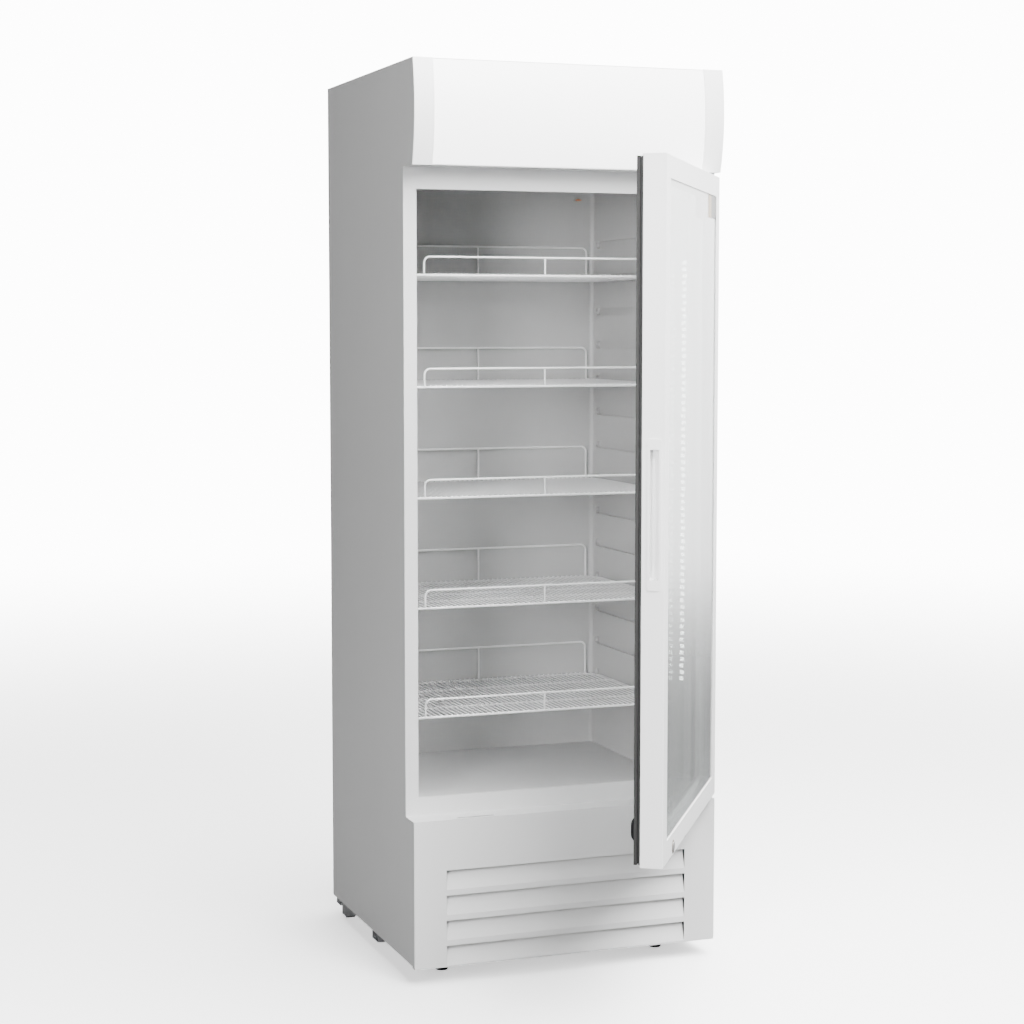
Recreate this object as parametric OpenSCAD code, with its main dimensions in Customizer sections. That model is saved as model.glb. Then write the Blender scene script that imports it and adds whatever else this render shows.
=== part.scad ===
// Single-door glass merchandiser: upright display fridge with an open-able
// double-glazed door, five wire shelves, a curved light canopy and a louvred base.
// Millimetres, +Z up. X runs across the front, Y runs from the front to the back.

/* [Cabinet] */
// Width over the side panels
cab_w = 680; // [640:10:760]
// Depth from the base front to the back panel
cab_d = 625; // [600:5:700]
// Height of the roof above the floor
cab_h = 1894; // [1850:1:2050]
// Sheet steel thickness of the outer panels
skin_t = 1; // [0.8:0.1:1.4]
// Thickness of the insulated side walls and roof
wall_t = 50; // [46:1:60]
// Thickness of the insulated back wall
back_t = 48; // [44:1:60]
// Gap between the floor and the underside of the cabinet
base_gap = 35; // [30:1:40]
// How much higher the side panels end than the base front
side_lift = 5; // [3:0.5:8]
// Height of the base ledge above the floor
base_top = 345; // [335:1:360]
// Height of the light canopy
canopy_h = 212; // [200:2:230]
// Setback of the door frame face behind the base front
face_y = 57; // [56.5:0.1:58]

/* [Opening and liner] */
// Width of the steel face frame beside the opening
stile_w = 28; // [26:1:32]
// Height of the face frame below the opening
sill_h = 38; // [36:1:44]
// Height of the face frame above the opening
head_h = 44; // [42:1:50]
// Depth of the return bent in round the opening
jamb_d = 9; // [8:0.5:11]
// Thickness of the moulded inner liner
liner_t = 2.5; // [2:0.1:3]
// Drop from the sill to the liner floor
floor_drop = 14; // [12:1:18]
// Depth of the liner's slanted front band
flare_run = 72; // [60:1:80]
// Radius of the liner's upright back corners
corner_r = 10; // [8:1:15]
// Height of the lowest shelf groove above the floor
groove_z = 540; // [530:1:550]
// Pitch of the shelf grooves
groove_pitch = 77.6; // [76:0.2:78]
// Number of shelf grooves in each side wall
groove_count = 14; // [13:1:14]
// Height of a shelf groove
groove_h = 17; // [16:0.5:19]
// Depth of a shelf groove
groove_d = 8; // [7.5:0.5:8.5]
// Distance from the back of a groove to the back wall
groove_stop = 21; // [20:1:22]

/* [Canopy] */
// Radius of the curved canopy front
canopy_r = 438; // [420:2:480]
// How far the foremost line of the canopy stands ahead of the base
canopy_bulge = 20; // [18:1:24]
// Height of the foremost line above the canopy's underside
canopy_peak = 116; // [106:1:120]
// Thickness of the light panel
panel_t = 3; // [2:0.5:4]
// Width of each moulded canopy end
end_w = 43; // [36:1:50]
// Thickness of the moulded canopy ends
end_t = 6; // [5.5:0.5:8]
// How far the ends stand proud of the light panel
end_proud = 2; // [1:0.5:2.5]
// Radius of the canopy lamp tube
lamp_r = 8; // [6:0.5:13]

/* [Door] */
// Angle at which the door stands open
door_angle = 56.3; // [0:0.1:100]
// Thickness of the door frame
door_t = 44; // [43:0.2:44.4]
// Width of the door's rails and stiles
rail_w = 43; // [42:0.5:48]
// Gap between the ledge and the door
gap_low = 5; // [4.5:0.1:6]
// Gap between the door and the canopy
gap_high = 8; // [7:0.1:9]
// Radius of the door's outer edges
edge_r = 1.5; // [1:0.5:4]
// Distance of the hinge axis from the door's side edge
pivot_in = 15; // [14:0.5:18]
// Distance of the hinge axis behind the door's face
pivot_back = 21; // [20.5:0.5:23]
// Radius of the hinge pins
pin_r = 4; // [3:0.5:5]
// Running clearance round pins and shafts
run_gap = 0.05; // [0.02:0.01:0.08]
// Thickness of the hinge brackets
bracket_t = 3; // [2.4:0.1:3.4]
// Thickness of one glass pane
pane_t = 4; // [3:0.5:5]
// Gap between the two panes
pane_gap = 12; // [10:0.5:13]
// Depth of the frame's front lip over the glass
lip_t = 2; // [2:0.5:5]
// Depth of the glazing groove in the frame
glaze_d = 12; // [10:0.5:13]
// Gap between the gasket and the face frame with the door shut
seal_gap = 0.7; // [0.5:0.1:2]
// Inset of the gasket from the door's edges
gasket_in = 4; // [3:0.5:8]
// Width of the gasket
gasket_w = 20; // [19:0.5:21]

/* [Handle and lock] */
// Height of the handle insert
grip_h = 281; // [240:1:320]
// Width of the handle insert
grip_w = 27; // [25:0.5:30]
// Height of the middle of the handle above the floor
grip_z = 1013; // [950:1:1060]
// Depth of the finger pocket
grip_d = 16; // [13:0.5:17]
// Radius of the lock barrel
lock_r = 9.4; // [8:0.1:10]
// Distance of the lock from the hinge edge of the door
lock_x = 561; // [540:1:580]
// Height of the lock above the door's lower edge
lock_up = 15; // [14:0.5:16]
// Length of the lock's cam
cam_len = 27; // [24:0.5:28]

/* [Shelves] */
// Number of groove steps from one shelf to the next
shelf_step = 3; // [3:1:3]
// Diameter of the shelf's frame wire
wire_d = 5; // [4:0.5:6]
// Diameter of the thin deck wires
deck_d = 2.8; // [2.4:0.1:3.2]
// Pitch of the deck wires
deck_pitch = 11.6; // [11:0.2:14]
// Distance from the base front to the shelf's front wire
shelf_y = 140; // [138:1:150]
// How far the shelf's edge reaches into the groove
shelf_reach = 6.5; // [3:0.5:7]
// Height of the front guard rail
guard_front = 38.5; // [30:0.5:45]
// Height of the back guard rail
guard_back = 77; // [60:1:85]
// Inset of the guard rails from the cabinet wall
guard_in = 20.6; // [18:0.2:30]

/* [Base] */
// Number of louvres in the base panel
louvre_count = 4; // [3:1:4]
// Height of the topmost louvre's upper edge
louvre_z = 239; // [230:1:241]
// Pitch of the louvres
louvre_pitch = 53; // [48:0.5:54]
// Height of one louvre
louvre_h = 41; // [34:0.5:43]
// How far a louvre's upper edge is pressed in
louvre_d = 12; // [9:0.5:14]
// Width of the louvres
louvre_w = 539; // [500:1:560]
// Distance of the control from the middle
control_x = 194; // [180:1:210]
// Width of the control's bezel
bezel_w = 100; // [90:1:110]
// Height of the bezel
bezel_h = 60; // [54:1:64]
// Radius of the temperature knob
knob_r = 18; // [15:0.5:20]
// Distance of the front feet from the middle
foot_x = 247; // [230:1:265]
// Distance of the front feet behind the base front
foot_y = 105; // [80:1:115]
// Radius of a foot's pad
foot_r = 14; // [12:0.5:18]
// Radius of a foot's stud
stud_r = 5; // [4:0.5:6]
// Distance of the rear rollers from the side panels
roller_in = 22; // [20:1:45]
// Distance of the roller axles from the back
roller_back = 65; // [60:1:80]
// Radius of a roller
roller_r = 13; // [11:0.5:13]
// Width of a roller
roller_w = 19; // [16:0.5:20]

/* [Refrigeration] */
// Radius of the compressor's shell
comp_r = 72; // [60:1:76]
// Height of the compressor's shell
comp_h = 165; // [140:5:180]
// Width of the condenser
cond_w = 260; // [220:5:270]
// Height of the condenser
cond_h = 225; // [210:5:240]
// Radius of the condenser fan
fan_r = 95; // [80:1:98]
// Height of the evaporator housing under the ceiling
evap_h = 150; // [140:2:156]
// Radius of the evaporator fan
evap_fan_r = 60; // [50:1:62]
// Diameter of the refrigerant tube
tube_d = 8; // [6:0.5:10]
// Radius of the drain tube
drain_r = 7; // [6:0.5:9]
// Radius of the mains cord's hole in the gland
cord_r = 4.5; // [4:0.1:5.5]

/* [Light strip] */
// Height of the lowest light above the floor
led_z = 594; // [580:1:640]
// Pitch of the lights
led_pitch = 14.32; // [12:0.01:20]

/* [Hidden] */
$fn = 64;
eps = 0.01;        // overlap between cutting tools and what they cut
over = 1;          // how far a cutting tool runs past a face
slip = 0.3;        // gap between pieces that must not touch

// cabinet planes
half_w = cab_w / 2;
inner_w = half_w - skin_t;
open_w = half_w - stile_w;
cav_w = half_w - wall_t;
canopy_z = cab_h - canopy_h;
open_low = base_top + sill_h;
open_high = canopy_z - head_h;
lip_y = face_y + jamb_d;
flare = open_w - cav_w;
flare_lead = flare_run / flare;
flare_skew = liner_t * norm([flare, flare_run]) / flare_run;
wall_y = lip_y + flare_run;
side_low = base_gap + side_lift;
back_y = cab_d - back_t;
floor_z = open_low - floor_drop;
ceil_z = cab_h - wall_t;
roof_z = cab_h - skin_t;
deck_t = 1.5;
deck_z = base_top - skin_t;
rear_y = cab_d - 2 * skin_t;
head_y = lip_y + 36;
head_rise = 14;

// door planes, with the door shut
door_low = base_top + gap_low;
door_high = canopy_z - gap_high;
door_h = door_high - door_low;
gasket_t = face_y - door_t - seal_gap;
glass_w = half_w - rail_w;
glass_low = door_low + rail_w;
glass_high = door_high - rail_w;
pane_in = glaze_d - 2;
unit_t = 2 * pane_t + pane_gap;
pivot = [half_w - pivot_in, pivot_back];
lock_at = [half_w - lock_x, door_low + lock_up];
cam_t = 3;
cam_y = lip_t + 8.5;
cam_w = 13;
pin_len = 18;
screw_r = 2;
dart_in = 20;
dart_w = 3;
dart_d = 5;
grip_y = 19.8;

// shelf planes
shelf_w = cav_w + shelf_reach;
shelf_back = back_y - 8;
shelf_corner = 45;
side_d = wire_d - 0.4;
hoop_d = wire_d - 0.6;
bar_d = wire_d - 1;
shelf_low = groove_z - groove_h / 2 + wire_d / 2 + slip;
groove_end = back_y - groove_stop;

// base and refrigeration
pan_t = 1.5;
pan_top = base_gap + pan_t;
pan_front = 19;
control_z = (base_top + louvre_z) / 2;
foot_pad_h = 10;
roller_pos = [half_w - roller_in, cab_d - roller_back];
comp_at = [0.44 * inner_w, rear_y - comp_r - 100];
comp_foot = 24;
comp_top = pan_top + comp_foot + comp_h + 15;
stub_z = pan_top + comp_foot + comp_h * 0.35;
drier_low = pan_top + 85;
drier_top = drier_low + 132;
cond_x = -0.44 * inner_w;
cond_y = 40;
cond_d = 60;
cond_rows = 7;
cond_lift = 30;
fan_z = pan_top + cond_lift + cond_h / 2;
shroud_y = cond_y + cond_d + 2;
motor_r = 26;
shaft_r = 3;
evap_z = ceil_z - evap_h;
evap_front = lip_y + 132;
evap_back = back_y - 15;
evap_w = cav_w - 40;
coil_y = evap_back - 12;
fin_t = 1;
evap_fan_z = evap_z + evap_h / 2;
chase_y = cab_d - back_t / 2;
pipe_x = 190;
suction_x = pipe_x + 0.75 * tube_d;
liquid_x = pipe_x - 0.75 * tube_d;
drier_at = [20, rear_y - 60];
drain_x = -190;
drain_bend = 10;
tray_back = rear_y - 12;
tray_front = tray_back - 178;
gland_at = [-250, base_gap + 62];
gland_out = 13;

// light strip
led_w = 17;
led_channel_t = 6;
led_lens_t = 1.8;
led_shift = 6;
led_cover = [26, 12, 45];
led_cover_low = open_high - slip - led_cover.z;
led_count = floor((led_cover_low - 90 - led_z) / led_pitch) + 1;
led_top = led_z + (led_count - 1) * led_pitch;

// the origin: middle of the box round the part to a tenth of a millimetre, on the floor
reach_left = -half_w;
reach_right = max(half_w, pivot.x + (pivot_in - edge_r) * cos(door_angle)
    + (pivot_back - edge_r) * sin(door_angle) + edge_r);
reach_front = min(-canopy_bulge, pivot.y - (cab_w - pivot_in - edge_r) * sin(door_angle)
    - (pivot_back - edge_r) * cos(door_angle) - edge_r);
reach_rear = cab_d + gland_out;
origin_x = round(5 * (reach_left + reach_right)) / 10;
origin_y = round(5 * (reach_front + reach_rear)) / 10;

module placed() {
    translate([-origin_x, -origin_y, 0]) children();
}

// swings a door piece from its shut place to its rest angle
module swung() {
    placed() translate([pivot.x, pivot.y, 0]) rotate([0, 0, door_angle])
        translate([-pivot.x, -pivot.y, 0]) children();
}

// a box between two opposite corners
module span(low, high) {
    translate(low) cube(high - low);
}

// extrudes a Y-Z outline across X from x_low to x_high
module across(x_low, x_high) {
    translate([x_low, 0, 0]) rotate([90, 0, 90]) linear_extrude(x_high - x_low) children();
}

// extrudes an X-Z outline backwards from y_low to y_high
module back(y_low, y_high) {
    translate([0, y_high, 0]) rotate([90, 0, 0]) linear_extrude(y_high - y_low) children();
}

// extrudes an X-Y outline upwards from z_low to z_high
module up(z_low, z_high) {
    translate([0, 0, z_low]) linear_extrude(z_high - z_low) children();
}

// a shaft along Y
module rod_y(r, y_low, y_high) {
    translate([0, y_low, 0]) rotate([-90, 0, 0]) cylinder(h = y_high - y_low, r = r);
}

// a shaft along X
module rod_x(r, x_low, x_high) {
    translate([x_low, 0, 0]) rotate([0, 90, 0]) cylinder(h = x_high - x_low, r = r);
}

module mirrored() {
    children();
    mirror([1, 0, 0]) children();
}

// a rectangle centred on the origin, with round corners
module round_rect(w, h, r) {
    square([w - 2 * r, h], center = true);
    square([w, h - 2 * r], center = true);
    for (sx = [-1, 1], sy = [-1, 1])
        translate([sx * (w / 2 - r), sy * (h / 2 - r)]) circle(r);
}

// ---------------------------------------------------------------- outer steel

// Y-Z outline behind the curved canopy front, set in on all sides by an inset
module canopy_round(inset) {
    intersection() {
        translate([canopy_r - canopy_bulge, canopy_z + canopy_peak]) circle(canopy_r - inset, $fn = 256);
        translate([-2 * canopy_bulge, canopy_z + inset])
            square([face_y + 2 * canopy_bulge, canopy_h - 2 * inset]);
    }
}

module side_outline() {
    heel = 4;
    difference() {
        union() {
            translate([0, side_low]) square([cab_d, base_top - side_low]);
            translate([face_y, side_low]) square([cab_d - face_y, cab_h - side_low]);
            canopy_round(0);
        }
        translate([cab_d, side_low]) rotate(45) square(heel * sqrt(2), center = true);
    }
}

// right-hand side panel: flat sheet with a return bent in at the back
module side_panel() {
    return_w = 17;
    across(inner_w, half_w) side_outline();
    span([inner_w - return_w, cab_d - skin_t, base_gap + 20], [inner_w + eps, cab_d, roof_z]);
}

module side_panel_right() {
    color("white") placed() side_panel();
}

module side_panel_left() {
    color("white") placed() mirror([1, 0, 0]) side_panel();
}

module back_panel() {
    color("gainsboro") placed() span([-inner_w, rear_y, deck_z], [inner_w, rear_y + skin_t, roof_z]);
}

// Y of the canopy ends' inner face at a height
function canopy_inside(z) = canopy_r - canopy_bulge
    - sqrt(pow(canopy_r - end_t, 2) - pow(z - canopy_z - canopy_peak, 2));

module roof_panel() {
    front = canopy_inside(cab_h) + slip;
    color("white") placed() span([-inner_w, front, roof_z], [inner_w, cab_d - skin_t, cab_h]);
}

// steel frame round the opening, with its edge bent in
module face_frame() {
    color("white") placed() {
        back(face_y, face_y + skin_t) difference() {
            translate([-inner_w, base_top]) square([2 * inner_w, canopy_z - base_top]);
            translate([-open_w, open_low]) square([2 * open_w, open_high - open_low]);
        }
        back(face_y + skin_t - eps, lip_y) difference() {
            translate([-open_w - skin_t, open_low - skin_t])
                square([2 * (open_w + skin_t), open_high - open_low + 2 * skin_t]);
            translate([-open_w, open_low]) square([2 * open_w, open_high - open_low]);
        }
    }
}

// ---------------------------------------------------------------- inner liner

// X-Y outline of the liner's right wall behind the flare, with its back corner
module wall_plan(front) {
    translate([cav_w, front]) square([liner_t, back_y - corner_r - front]);
    intersection() {
        translate([cav_w - corner_r, back_y - corner_r]) difference() {
            circle(corner_r + liner_t);
            circle(corner_r);
        }
        translate([cav_w - corner_r, back_y - corner_r]) square(corner_r + liner_t);
    }
}

// X-Y outline of the slanted band between the face frame and the wall
module flare_plan() {
    polygon([[open_w, lip_y], [cav_w, wall_y],
        [cav_w + liner_t, wall_y + (flare_skew - liner_t) * flare_lead], [open_w + flare_skew, lip_y]]);
}

// the moulded channel behind one shelf groove
module groove_back() {
    deep = groove_d + liner_t;
    tall = groove_h + 2 * liner_t;
    sunk = liner_t / 4;
    up(-tall / 2, tall / 2) polygon([[cav_w + sunk, wall_y],
        [cav_w + deep, wall_y - (deep - sunk) * flare_lead],
        [cav_w + deep, groove_end + liner_t], [cav_w + sunk, groove_end + liner_t]]);
}

// the hollow of one shelf groove, open at the front and round at the back
module groove_cut() {
    span([cav_w - over, wall_y - groove_d * flare_lead - over, -groove_h / 2],
        [cav_w + groove_d, groove_end - groove_h / 2, groove_h / 2]);
    translate([0, groove_end - groove_h / 2, 0])
        rod_x(groove_h / 2, cav_w - over, cav_w + groove_d);
}

module at_grooves() {
    for (i = [0 : groove_count - 1])
        translate([0, 0, groove_z + i * groove_pitch]) children();
}

// right-hand liner wall with its row of shelf grooves
module liner_side() {
    head_z = open_high + head_rise;
    difference() {
        union() {
            up(floor_z - liner_t, head_z) wall_plan(wall_y);
            up(head_z - eps, ceil_z + liner_t) wall_plan(head_y - liner_t);
            up(open_low - liner_t, open_high + liner_t) flare_plan();
            for (web = [open_low - liner_t, open_high])
                up(web, web + liner_t) polygon([[cav_w, lip_y], [open_w, lip_y], [cav_w, wall_y]]);
            span([cav_w, lip_y, floor_z - liner_t], [cav_w + liner_t, wall_y + eps, open_low]);
            span([cav_w, lip_y, open_high], [cav_w + liner_t, wall_y + eps, head_z]);
            at_grooves() groove_back();
        }
        at_grooves() groove_cut();
    }
}

module liner_right() {
    color("gainsboro") placed() liner_side();
}

module liner_left() {
    color("gainsboro") placed() mirror([1, 0, 0]) liner_side();
}

module liner_back() {
    color("gainsboro") placed() difference() {
        span([corner_r - cav_w, back_y, floor_z - liner_t],
            [cav_w - corner_r, back_y + liner_t, ceil_z + liner_t]);
        translate([pipe_x, 0, evap_fan_z]) rod_y(2 * tube_d, back_y - over, back_y + liner_t + over);
        translate([drain_x, 0, evap_z + 2 * drain_r])
            rod_y(drain_r + run_gap, back_y - over, back_y + liner_t + over);
    }
}

// X-Y outline of the space between the liner walls, from a front line back
module cavity_plan(front, grow = 0) {
    w = cav_w + grow;
    translate([-w, front]) square([2 * w, back_y - corner_r - front]);
    translate([corner_r - cav_w, front]) square([2 * (cav_w - corner_r), back_y + grow - front]);
    for (s = [-1, 1])
        translate([s * (cav_w - corner_r), back_y - corner_r]) circle(corner_r + grow);
}

module liner_floor() {
    color("gainsboro") placed() {
        up(floor_z - liner_t, floor_z) cavity_plan(wall_y);
        across(-cav_w, cav_w) polygon([[lip_y, open_low], [lip_y + floor_drop, floor_z],
            [wall_y + eps, floor_z], [wall_y + eps, floor_z - liner_t],
            [lip_y + floor_drop - liner_t / 2, floor_z - liner_t], [lip_y, open_low - 1.5 * liner_t]]);
    }
}

module liner_ceiling() {
    color("gainsboro") placed() {
        up(ceil_z, ceil_z + liner_t) cavity_plan(head_y - eps);
        across(-cav_w, cav_w) polygon([[lip_y, open_high], [head_y, open_high + head_rise],
            [head_y, ceil_z + liner_t], [head_y - liner_t, ceil_z + liner_t],
            [head_y - liner_t, open_high + head_rise + liner_t], [lip_y, open_high + liner_t]]);
    }
}

// foam that fills the walls and follows the liner's grooves
module insulation_foam() {
    skew = flare_skew + slip;
    w = open_w + skew;
    color("khaki") placed() difference() {
        span([-inner_w, face_y + skin_t, deck_z], [inner_w, rear_y, roof_z]);
        up(floor_z - liner_t, ceil_z + liner_t) cavity_plan(head_y - liner_t, liner_t);
        up(floor_z - liner_t, open_high + head_rise + 2 * liner_t) {
            cavity_plan(wall_y, liner_t);
            polygon([[-w, face_y], [w, face_y], [w, lip_y], [cav_w, wall_y + skew * flare_lead],
                [-cav_w, wall_y + skew * flare_lead], [-w, lip_y]]);
        }
        mirrored() at_grooves() groove_back();
        chase(pipe_x, evap_fan_z, 2 * tube_d, 2 * tube_d);
        chase(drain_x, evap_z + 2 * drain_r, drain_r + run_gap, drain_bend);
    }
}

// a square way through the back wall's foam: in from the cabinet, then down into the base,
// with its inner corner cut away for a bend
module chase(x, z, r, bend) {
    span([x - r, back_y, z - r], [x + r, chase_y + r, z + r]);
    span([x - r, chase_y - r, deck_z - over], [x + r, chase_y + r, z + r]);
    span([x - r, chase_y - bend, z - bend], [x + r, chase_y, z]);
}

// ---------------------------------------------------------------- base

// welded base: floor pan, corner angles and the deck under the insulation
module base_frame() {
    angle_w = 18;
    rim_h = 26;
    step_in = 6;
    boss_h = 12;
    pan_w = inner_w - step_in;
    color("silver") placed() difference() {
        union() {
            span([-pan_w, pan_front, base_gap], [pan_w, rear_y, pan_top]);
            span([-inner_w, pan_front, deck_z - deck_t], [inner_w, rear_y, deck_z]);
            // the pan's sides step out above the side panels' lower edges
            mirrored() {
                back(pan_front, rear_y) polygon([[pan_w - pan_t, base_gap], [pan_w, base_gap],
                    [pan_w, side_low], [inner_w, side_low], [inner_w, pan_top + rim_h],
                    [inner_w - pan_t, pan_top + rim_h], [inner_w - pan_t, side_low + pan_t],
                    [pan_w - pan_t, side_low + pan_t]]);
                for (y = [pan_front, rear_y - angle_w])
                    span([inner_w - pan_t, y, side_low], [inner_w, y + angle_w, deck_z]);
                for (y = [pan_front, rear_y - pan_t])
                    span([inner_w - angle_w, y, side_low], [inner_w, y + pan_t, deck_z]);
                translate([foot_x, foot_y, base_gap]) cylinder(h = boss_h, r = 2 * stud_r);
            }
            // cross rails under the pan: distance from the back, depth and drop
            for (rail = [[38, 33, 13], [339, 44, 19]])
                difference() {
                    span([-pan_w, cab_d - rail[0], base_gap - rail[2]],
                        [pan_w, cab_d - rail[0] + rail[1], base_gap + eps]);
                    span([-pan_w - over, cab_d - rail[0] + pan_t, base_gap - rail[2] + pan_t],
                        [pan_w + over, cab_d - rail[0] + rail[1] - pan_t, base_gap]);
                }
        }
        mirrored() translate([foot_x, foot_y, base_gap - over])
            cylinder(h = boss_h + 2 * over, r = stud_r + run_gap);
        translate([0, chase_y, deck_z - deck_t - over]) {
            translate([pipe_x, 0, 0]) cylinder(h = deck_t + 2 * over, r = 2 * tube_d);
            translate([drain_x, 0, 0]) cylinder(h = deck_t + 2 * over, r = drain_r + run_gap);
        }
    }
}

// one louvre: a blade cut free on three sides and pressed in along its upper edge
module louvre() {
    lean = atan2(louvre_d, louvre_h);
    rotate([-lean, 0, 0]) span([-louvre_w / 2, 0, 0], [louvre_w / 2, skin_t, louvre_h / cos(lean)]);
}

module louvre_places() {
    for (i = [0 : louvre_count - 1])
        translate([0, 0, louvre_z - louvre_h - i * louvre_pitch]) children();
}

// base front: sheet with pressed louvres, a ledge under the door and bent returns
module grille_panel() {
    return_d = 17;
    slot_x = [lock_at.x - 22, lock_at.x + 59];
    slot_y = [cam_y - 2, cam_y + cam_t + 2];
    color("white") placed() difference() {
        union() {
            difference() {
                span([-inner_w, 0, base_gap], [inner_w, skin_t, base_top]);
                louvre_places()
                    span([-louvre_w / 2 - slip, -over, 0], [louvre_w / 2 + slip, skin_t + over, louvre_h]);
                translate([control_x, 0, control_z]) back(-over, skin_t + over)
                    round_rect(bezel_w - 20, bezel_h - 20, 8);
            }
            louvre_places() louvre();
            span([-inner_w, 0, deck_z], [inner_w, face_y + skin_t, base_top]);
            span([-inner_w, 0, base_gap], [inner_w, return_d, base_gap + skin_t]);
            mirrored() span([inner_w - skin_t, 0, base_gap], [inner_w, return_d, base_top]);
        }
        span([slot_x[0], slot_y[0], deck_z - over], [slot_x[1], slot_y[1], base_top + over]);
        for (p = screw_places()) translate([p.x, p.y, deck_z - over]) cylinder(h = 3 * over, r = screw_r);
    }
}

// round-cornered surround of the temperature control, with its body behind the panel
module control_bezel() {
    face_t = 3;
    body_d = 34;
    color("black") placed() translate([control_x, 0, control_z]) difference() {
        union() {
            back(-face_t, 0) round_rect(bezel_w, bezel_h, bezel_h / 3);
            back(-eps, body_d) round_rect(bezel_w - 20 - 2 * slip, bezel_h - 20 - 2 * slip, 8);
        }
        rod_y(shaft_r + run_gap, -face_t - over, 12);
    }
}

// ribbed temperature knob on its shaft
module thermostat_knob() {
    grips = 18;
    color("dimgray") placed() translate([control_x, 0, control_z]) {
        difference() {
            union() {
                rod_y(knob_r, -9, -3 - slip);
                rod_y(knob_r - 3, -19, -9 + eps);
                rod_y(shaft_r, -9, 11);
            }
            for (i = [0 : grips - 1])
                rotate([0, i * 360 / grips, 0]) translate([knob_r - 2.6, 0, 0]) rod_y(1, -20, -10);
        }
        span([-1.4, -21, 2], [1.4, -18.5, knob_r - 4]);
    }
}

// sheet cover over the back of the machine space, with rows of air slots
module rear_cover() {
    edge = 4;
    slot = [86, 6];
    rows = 9;
    color("silver") placed() difference() {
        span([edge - inner_w, rear_y, base_gap + edge], [inner_w - edge, rear_y + skin_t, deck_z - slip]);
        for (col = [-2 : 2], row = [0 : rows - 1])
            translate([col * 116 - slot.x / 2, 0, base_gap + 92 + row * 20])
                span([0, rear_y - over, 0], [slot.x, rear_y + skin_t + over, slot.y]);
        translate([gland_at.x, 0, gland_at.y]) rod_y(9.1, rear_y - over, rear_y + skin_t + over);
    }
}

// bush in the rear cover where the mains cord comes out
module cord_gland() {
    cover_y = rear_y + skin_t;
    color("black") placed() translate([gland_at.x, 0, gland_at.y]) difference() {
        union() {
            rod_y(9, rear_y - 10, cover_y + eps);
            rod_y(14, cover_y, cover_y + 4);
            rod_y(12.5, rear_y - 4, rear_y);
            rod_y(8, cover_y, cab_d + gland_out);
        }
        rod_y(cord_r, rear_y - 12, cab_d + gland_out + over);
    }
}

// ---------------------------------------------------------------- canopy

// sheet box behind the light panel: its floor over the door and its back wall
module canopy_box() {
    front = canopy_inside(canopy_z) + slip;
    color("white") placed() difference() {
        union() {
            span([-inner_w, front, canopy_z], [inner_w, face_y + skin_t / 2, canopy_z + skin_t]);
            span([-inner_w, face_y, canopy_z], [inner_w, face_y + skin_t, roof_z]);
        }
        for (p = screw_places()) translate([p.x, p.y, canopy_z - over]) cylinder(h = 3 * over, r = screw_r);
    }
}

// curved light panel
module canopy_panel() {
    w = half_w - end_w;
    color("whitesmoke") placed() across(-w, w) difference() {
        canopy_round(end_proud);
        canopy_round_cut(end_proud + panel_t);
    }
}

module canopy_round_cut(inset) {
    translate([canopy_r - canopy_bulge, canopy_z + canopy_peak]) circle(canopy_r - inset, $fn = 256);
}

// the two moulded ends beside the light panel
module canopy_ends() {
    low = half_w - end_w + slip;
    color("white") placed() mirrored() {
        across(low, inner_w) difference() {
            canopy_round(0);
            canopy_round_cut(end_t);
        }
    }
}

// lamp behind the light panel: holder rail and tube
module canopy_lamp() {
    rail_h = 24;
    length = 2 * (half_w - end_w) - 60;
    mid = canopy_z + canopy_h / 2;
    color("white") placed() {
        span([-length / 2, face_y - 14, mid - rail_h / 2], [length / 2, face_y, mid + rail_h / 2]);
        mirrored() span([length / 2 - 14, face_y - 14 - 2 * lamp_r - 2, mid - lamp_r - 1],
            [length / 2, face_y - 13, mid + lamp_r + 1]);
        translate([0, face_y - 15 - lamp_r, mid]) rod_x(lamp_r, 13 - length / 2, length / 2 - 13);
    }
}

// ---------------------------------------------------------------- light strip

// runs along the liner's right-hand slanted band: local X along the band towards the
// front, local Y out of it
module on_flare() {
    translate([(open_w + cav_w) / 2, (lip_y + wall_y) / 2, 0])
        rotate([0, 0, atan2(flare_run, -flare)]) mirror([1, 0, 0]) children();
}

// lit part of the strip, with a thin conduit up to its junction box
module led_channel() {
    lit_top = led_top + 14;
    conduit_w = 4;
    color("silver") placed() on_flare() {
        span([led_shift - led_w / 2, run_gap, led_z - 14], [led_shift + led_w / 2, led_channel_t, lit_top]);
        span([led_shift - conduit_w / 2, run_gap, lit_top - eps],
            [led_shift + conduit_w / 2, led_channel_t, led_cover_low + eps]);
        span([-led_cover.x / 2, run_gap, led_cover_low],
            [led_cover.x / 2, led_cover.y, led_cover_low + led_cover.z]);
    }
}

module led_lenses() {
    size = [10, 8];
    color("lightyellow") placed() on_flare()
        for (i = [0 : led_count - 1])
            translate([led_shift + (i % 2 - 0.5) * 2, led_channel_t, led_z + i * led_pitch])
                span([-size.x / 2, 0, -size.y / 2], [size.x / 2, led_lens_t, size.y / 2]);
}

// ---------------------------------------------------------------- evaporator

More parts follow.
